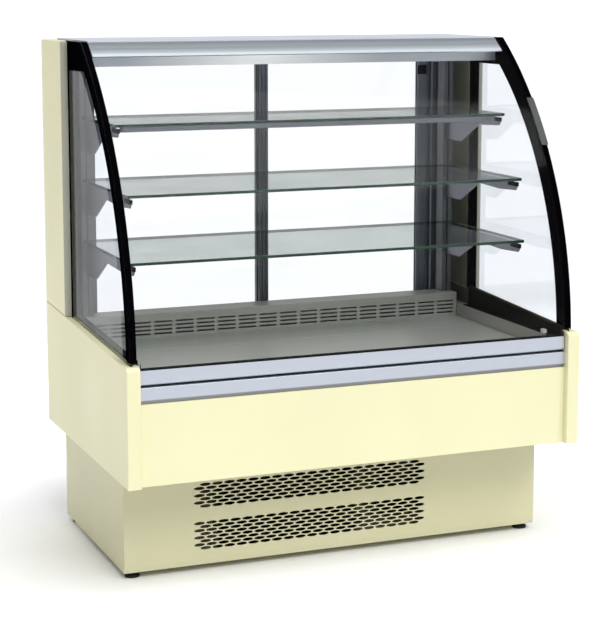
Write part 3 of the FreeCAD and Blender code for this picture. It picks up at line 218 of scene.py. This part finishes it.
# ---------------------------------------------------------------- materials
def coated(name, colour, roughness, grain, worn=0.93, front=None, inside=None):
    """Powder coat: fine orange peel, faint cloudiness, handled edges. front is the painted-shade colour
    of a column's front lip; inside is the painted-shade colour of a panel's inner face, behind the front
    panel."""
    s = Shader(name)
    cloud = s.noise(2.3, 3)
    body = s.mix(s.spread(cloud, 0, 1), shade(colour, 0.965), shade(colour, 1.02))
    if front:
        # Painted shade: the column's front lip takes a darker colour.
        body = s.mix(s.until(s.place("Y"), LIP_FRONT), body, front)
    if inside:
        # Painted shade: a panel's inner face, behind the front panel, takes a darker colour.
        inner = s.until(s.aside(), INNER_FACE)
        behind = s.past(s.place("Y"), BEHIND_FRONT_PANEL)
        body = s.mix(s.math("MULTIPLY", inner, behind), body, inside)
    scuffs = s.math("MULTIPLY", s.edges(0.004), s.spread(s.noise(38, 4), 0, 1, 0.45, 0.62))
    s.join(s.mix(scuffs, body, shade(colour, worn)), s.surface.inputs["Base Color"])
    smears = s.spread(s.noise(6, 5, (1, 1, 0.35)), roughness - 0.05, roughness + 0.08)
    s.join(smears, s.surface.inputs["Roughness"])
    peel = s.noise(grain, 2)
    s.join(s.bump(peel, 0.12, 0.0004, s.soft_normal(0.0012)), s.surface.inputs["Normal"])
    return s.material


def brushed(name, colour, roughness, stretch, metallic=1.0, line=0.06, grime=0.0, bands=(), painted_highlight=0.0,
            right=None):
    """Metal with fine lines along one direction. Each band is painted shading, the colour above a change
    of height; painted_highlight says how much paler the metal is painted near the middle of the canopy,
    a painted highlight where the lamp lights it, and right is the colour of the bar near the right end,
    painted light."""
    s = Shader(name)
    lines = s.noise(1.0, 3, stretch, 0.65)
    cloud = s.noise(3.1, 4)
    body = s.mix(s.spread(lines, 0, 1, 0.35, 0.65), shade(colour, 1 - line), shade(colour, 1 + line))
    if painted_highlight:
        # Painted highlight: the metal is paler near the middle of the canopy, where the lamp is
        # reflected.
        reach = s.math("ABSOLUTE", s.math("SUBTRACT", s.place("X"), CANOPY_HIGHLIGHT_MIDDLE))
        body = s.mix(s.until(reach, CANOPY_HIGHLIGHT_REACH), body, shade(colour, 1 + painted_highlight))
    if right:
        # Painted light: the lit bar at the right end of the door frame is paler.
        body = s.mix(s.past(s.place("X"), RIGHT_DOOR_BAR), body, right)
    for change, band in bands:
        # Painted shading: a different colour above each change of height.
        body = s.mix(s.past(s.place("Z"), change), body, band)
    stain = s.math("MULTIPLY", s.spread(cloud, 0, 1, 0.42, 0.75), grime)
    s.join(s.mix(stain, body, shade(colour, 0.72)), s.surface.inputs["Base Color"])
    polish = s.spread(lines, roughness - 0.05, roughness + 0.07)
    s.join(s.math("ADD", polish, s.math("MULTIPLY", stain, 0.2)), s.surface.inputs["Roughness"])
    s.join(s.bump(lines, 0.08, 0.0003, s.soft_normal(0.001)), s.surface.inputs["Normal"])
    s.constant(Metallic=metallic)
    return s.material


def moulded(name, colour, roughness, grain, specular=0.5):
    """Plastic or rubber with a fine spark-eroded grain and paler rubbed spots."""
    s = Shader(name)
    rubbed = s.spread(s.noise(19, 5), 0, 1, 0.5, 0.8)
    s.join(s.mix(rubbed, colour, shade(colour, 1.35)), s.surface.inputs["Base Color"])
    s.join(s.spread(s.noise(11, 3), roughness - 0.06, roughness + 0.1), s.surface.inputs["Roughness"])
    s.join(s.bump(s.noise(grain, 1), 0.2, 0.0004, s.soft_normal(0.0008)), s.surface.inputs["Normal"])
    s.constant(Specular_IOR_Level=specular)
    return s.material


def clear_part(s):
    """0 on an end pane's print, and the strength of the sheen inside it; the sheen is turned down on the
    left pane and up on the right, a painted shade and a painted reflection.
    """
    reach = s.node("VectorMath", operation="DISTANCE")
    flat = s.node("CombineXYZ")
    s.join(s.place("Y"), flat.inputs["Y"])
    s.join(s.place("Z"), flat.inputs["Z"])
    s.join(flat.outputs[0], reach.inputs[0])
    reach.inputs[1].default_value = CLEAR_CENTRE
    arc = s.until(reach.outputs["Value"], CLEAR_RADIUS)
    below = s.until(s.place("Z"), CLEAR_TOP)
    before = s.until(s.place("Y"), CLEAR_REAR)
    # Painted shade and painted reflection: the sheen runs from half strength on the left pane to more
    # than full strength on the right.
    strength = s.spread(s.place("X"), 0.5, 1.1, *LEFT_TO_RIGHT_PANE)
    return s.math("MULTIPLY", s.math("MULTIPLY", arc, below), s.math("MULTIPLY", before, strength))


def between_borders(s):
    """1 on the front glass between its two printed side borders."""
    return s.until(s.aside(), CLEAR_SIDE)


def pane(name, face_axis, tint, edge_colour, gloss=1.0, shiny=None):
    """Clear glass: straight-through sheet faces with a mirror sheen, and dark polished edges. A
    face's normal lies along face_axis, or in no one direction when it is "curved". shiny says
    where the sheen is; the printed borders are etched dull."""
    s = Shader(name)
    normal = s.node("SeparateXYZ")
    s.join(s.coordinates.outputs["Normal"], normal.inputs[0])
    if face_axis == "curved":
        ends = s.spread(s.math("ABSOLUTE", normal.outputs["X"]), 0, 1, 0.5, 0.6)
        top = s.spread(s.math("ABSOLUTE", normal.outputs["Z"]), 0, 0.3, 0.88, 0.92)
        edge = s.math("MAXIMUM", ends, top)
    else:
        edge = s.spread(s.math("ABSOLUTE", normal.outputs[face_axis]), 1, 0, 0.8, 0.9)
    clear = s.node("BsdfTransparent")
    clear.inputs["Color"].default_value = (*tint, 1)
    mirror = s.node("BsdfGlossy")
    mirror.inputs["Roughness"].default_value = 0.02
    fresnel = s.node("Fresnel")
    fresnel.inputs["IOR"].default_value = GLASS_IOR
    once = fresnel.outputs["Fac"]
    twice = s.math("DIVIDE", s.math("MULTIPLY", once, 2), s.math("ADD", once, 1))
    smear = s.spread(s.noise(5, 4, (1, 1, 0.4)), 0.8 * gloss, 1.15 * gloss)
    outside = s.math("SUBTRACT", 1, s.node("NewGeometry").outputs["Backfacing"])
    sheen = s.math("MULTIPLY", s.math("MULTIPLY", twice, smear), outside)
    if shiny:
        sheen = s.math("MULTIPLY", sheen, shiny(s))
    face = s.node("MixShader")
    s.join(sheen, face.inputs[0])
    s.join(clear.outputs[0], face.inputs[1])
    s.join(mirror.outputs[0], face.inputs[2])
    s.join(s.mix(s.spread(s.noise(30, 2), 0, 1), edge_colour, shade(edge_colour, 1.6)),
           s.surface.inputs["Base Color"])
    s.constant(Roughness=0.14, IOR=GLASS_IOR, Specular_IOR_Level=0.4)
    whole = s.node("MixShader")
    s.join(edge, whole.inputs[0])
    s.join(face.outputs[0], whole.inputs[1])
    s.join(s.surface.outputs[0], whole.inputs[2])
    s.join(whole.outputs[0], s.tree.nodes["Material Output"].inputs["Surface"])
    return s.material


def printed_black(name):
    """Enamel print on the back of the glass: deep black, with faint dust."""
    s = Shader(name)
    dust = s.spread(s.noise(260, 3), 0, 0.05, 0.55, 0.8)
    s.join(s.mix(dust, linear(5, 4, 7), linear(60, 62, 66)), s.surface.inputs["Base Color"])
    s.join(s.spread(s.noise(7, 3), 0.6, 0.8), s.surface.inputs["Roughness"])
    s.constant(Specular_IOR_Level=0.0)
    return s.material


def lamp(name, strength):
    """Opal tube cover with faint streaks along it, glowing evenly."""
    s = Shader(name)
    streaks = s.spread(s.noise(90, 2, (0.05, 1, 1)), 0, 1)
    s.join(s.mix(streaks, linear(240, 246, 250), linear(226, 235, 242)), s.surface.inputs["Base Color"])
    s.join(s.spread(s.noise(14, 2), 0.25, 0.4), s.surface.inputs["Roughness"])
    s.constant(Emission_Color=(0.95, 0.98, 1.0, 1), Emission_Strength=strength)
    return s.material


def foam(name):
    """Yellowish insulation with fine cells."""
    s = Shader(name)
    cells = s.noise(420, 3)
    s.join(s.mix(s.spread(cells, 0, 1), linear(214, 196, 140), linear(232, 218, 168)),
           s.surface.inputs["Base Color"])
    s.join(s.bump(cells, 0.5, 0.001), s.surface.inputs["Normal"])
    s.constant(Roughness=0.9)
    return s.material


def make_materials():
    """Every material by name; a slot's own material has the slot's name."""
    cream = linear(233, 229, 188)
    glass_edge = linear(14, 20, 18)
    canopy_foot = low_corner("canopy_profile").z
    # Painted light and shade: paler and darker stripes by height on the canopy's facets, for how light
    # falls on each.
    canopy_facet_shading = (
        (change(canopy_foot, 0.0256, 0.0272), linear(220, 226, 233)),
        (change(canopy_foot, 0.0336, 0.0352), linear(206, 212, 219)),
        (change(canopy_foot, 0.035, 0.047), linear(156, 161, 167)),
        (change(canopy_foot, 0.06, 0.0624), linear(176, 181, 187)),
    )
    # Painted light and shade: the aluminium is paler above the bumper's lower edge, which keeps the
    # darker colour as a painted shade.
    bumper_shading = (
        (BUMPER_LOWER_EDGE, linear(196, 201, 212)),
    )
    return {
        "cream_paint": coated("cream_paint", cream, 0.36, 700),
        # Painted shade: the base is the cream darkened, for the shade under the overhang.
        "base_cream_shaded": coated("base_cream_shaded", shade(cream, 0.8), 0.42, 700),
        # Painted shade: the inside colours of cream_panel and column_panel darken the inner faces behind
        # the front panel.
        "cream_panel": coated("cream_panel", shade(cream, 0.99), 0.4, 900, inside=linear(68, 68, 58)),
        # Painted shade: column_panel's front colour darkens the column's front lip.
        "column_panel": coated("column_panel", shade(cream, 0.99), 0.4, 900, front=linear(158, 157, 142),
                               inside=linear(108, 106, 90)),
        "white_paint": coated("white_paint", linear(206, 212, 221), 0.34, 700),
        "black_paint": coated("black_paint", linear(26, 26, 28), 0.35, 500, worn=1.8),
        "stainless": brushed("stainless", linear(176, 174, 167), 0.34, (6, 900, 300), 0.4, 0.05, 0.3),
        "shelf_steel": brushed("shelf_steel", linear(118, 120, 128), 0.42, (500, 500, 8), 0.5),
        "upright_metal": brushed("upright_metal", linear(88, 91, 94), 0.42, (500, 500, 8), 0.5),
        "galvanised": brushed("galvanised", linear(170, 174, 178), 0.5, (60, 60, 60), 0.9, 0.1, 0.4),
        "screw_steel": brushed("screw_steel", linear(200, 202, 206), 0.3, (600, 600, 600)),
        "aluminium": brushed("aluminium", linear(146, 148, 149), 0.38, (5, 1100, 1100), 0.7, 0.04,
                             bands=bumper_shading),
        # canopy_metal: painted shading in stripes by height and a painted highlight of the lamp near the
        # middle.
        "canopy_metal": brushed("canopy_metal", linear(184, 189, 196), 0.36, (5, 1100, 1100), 0.7, 0.05,
                                bands=canopy_facet_shading, painted_highlight=1.1),
        # Painted shade: door_metal and jamb_metal are darker copies of the aluminium; door_metal's paler
        # bar at the right end is painted light.
        "door_metal": brushed("door_metal", linear(92, 96, 101), 0.4, (900, 900, 6), 0.8, 0.08,
                              right=linear(150, 154, 160)),
        "jamb_metal": brushed("jamb_metal", linear(128, 132, 139), 0.4, (900, 900, 6), 0.8, 0.08),
        # Painted shade: dark_steel and dark_fins are darker copies of galvanised and fin_aluminium, for
        # the shade inside the base.
        "dark_steel": brushed("dark_steel", linear(58, 60, 63), 0.55, (60, 60, 60), 0.9, 0.1, 0.4),
        "fin_aluminium": brushed("fin_aluminium", linear(195, 198, 202), 0.4, (300, 30, 30)),
        "dark_fins": brushed("dark_fins", linear(40, 42, 45), 0.5, (300, 30, 30), 0.8),
        "copper": brushed("copper", linear(140, 88, 60), 0.36, (40, 40, 40), 1.0, 0.12, 0.7),
        "foam": foam("foam"),
        "dark_trim": moulded("dark_trim", linear(21, 18, 12), 0.6, 600, 0.05),
        "black_plastic": moulded("black_plastic", linear(14, 15, 17), 0.42, 800, 0.3),
        "white_plastic": moulded("white_plastic", linear(214, 214, 210), 0.4, 500),
        "red_plastic": moulded("red_plastic", linear(150, 28, 20), 0.25, 300),
        "grey_grip": moulded("grey_grip", linear(46, 48, 50), 0.3, 400, 0.4),
        "black_border": printed_black("black_border"),
        "lamp_diffuser": lamp("lamp_diffuser", 1.2),
        "black_rubber": moulded("black_rubber", linear(24, 24, 25), 0.62, 500, 0.3),
        "black_gasket": moulded("black_gasket", linear(9, 11, 13), 0.5, 500, 0.15),
        "clear_glass": pane("clear_glass", "curved", (0.99, 0.995, 0.995), glass_edge, gloss=0.1,
                            shiny=between_borders),
        "end_glass": pane("end_glass", "X", (0.955, 0.968, 0.99), glass_edge, shiny=clear_part),
        "shelf_glass": pane("shelf_glass", "Z", (0.9, 0.935, 0.93), linear(16, 44, 32)),
        "door_glass": pane("door_glass", "Y", (0.985, 0.99, 0.99), linear(60, 90, 80), gloss=0.4),
    }


def dress(materials):
    """Each CAD node takes the material of its slot; a few take a closer match of it."""
    own = {
        "end_glass": "end_glass",
        "door_left_glass": "door_glass",
        "door_right_glass": "door_glass",
        "canopy_profile": "canopy_metal",
        "door_surround": "jamb_metal",
        "door_left_frame": "door_metal",
        "door_right_frame": "door_metal",
        "shelf_uprights": "upright_metal",
        "rear_column_left": "column_panel",
        "rear_column_right": "column_panel",
        # The base parts take the darkened cream: painted shade.
        "base_front_grille": "base_cream_shaded",
        "base_rear_grille": "base_cream_shaded",
        "base_sides": "base_cream_shaded",
        "base_floor": "base_cream_shaded",
        # The base frame and the parts inside the base take darker copies of their metals: painted shade.
        "base_frame": "dark_steel",
        "condenser_coil": "dark_fins",
        "condenser_fan_housing": "dark_steel",
    }
    for entry in frame["record"]["subparts"]:
        name = entry["node"]
        chosen = materials[own.get(name, entry["material_slot"])]
        for slot in NODES[name].material_slots:
            slot.material = chosen


# ---------------------------------------------------------------- room and light
def make_floor():
    """Pale paper floor, with painted light given off just behind the case, where the case's shadow
    falls.
    """
    width = 60
    bpy.ops.mesh.primitive_plane_add(size=width, location=(0, 0, 0))
    floor = bpy.context.object
    floor.name = "floor"
    s = Shader("floor")
    s.join(s.mix(s.spread(s.noise(0.6, 3), 0, 1), linear(246, 246, 246), linear(250, 250, 250)),
           s.surface.inputs["Base Color"])
    s.join(s.spread(s.noise(3, 2), 0.55, 0.7), s.surface.inputs["Roughness"])
    # Painted light: the floor gives off light just behind the case, lifting the case's shadow there.
    rise = s.spread(s.place("Y"), 0, 0.4, *FLOOR_GLOW_START)
    fall = s.until(s.place("Y"), FLOOR_GLOW_END)
    s.join(s.math("MULTIPLY", rise, fall), s.surface.inputs["Emission Strength"])
    s.constant(Emission_Color=(1, 1, 1, 1))
    floor.data.materials.append(s.material)


def make_light():
    """A bright room, a white backdrop, and one very soft key light high in front."""
    world = bpy.data.worlds.new("studio")
    world.use_nodes = True
    tree = world.node_tree
    room = tree.nodes["Background"]
    room.inputs["Color"].default_value = (0.97, 0.985, 1, 1)
    room.inputs["Strength"].default_value = 0.5
    backdrop = tree.nodes.new("ShaderNodeBackground")
    backdrop.inputs["Strength"].default_value = 1.2
    backdrop.inputs["Color"].default_value = (1, 1, 1, 1)
    seen = tree.nodes.new("ShaderNodeLightPath")
    choose = tree.nodes.new("ShaderNodeMixShader")
    tree.links.new(seen.outputs["Is Camera Ray"], choose.inputs[0])
    tree.links.new(room.outputs[0], choose.inputs[1])
    tree.links.new(backdrop.outputs[0], choose.inputs[2])
    tree.links.new(choose.outputs[0], tree.nodes["World Output"].inputs["Surface"])
    bpy.context.scene.world = world
    shines_towards = Vector((-0.12, 0.5, -0.86))
    key = bpy.data.lights.new("key", "SUN")
    key.energy = 2.6
    key.angle = math.radians(50)
    key_object = bpy.data.objects.new("key", key)
    key_object.rotation_euler = shines_towards.to_track_quat("-Z", "Y").to_euler()
    bpy.context.scene.collection.objects.link(key_object)
    bpy.context.scene.view_settings.view_transform = "Standard"


make_camera()
dress(make_materials())
make_floor()
make_light()
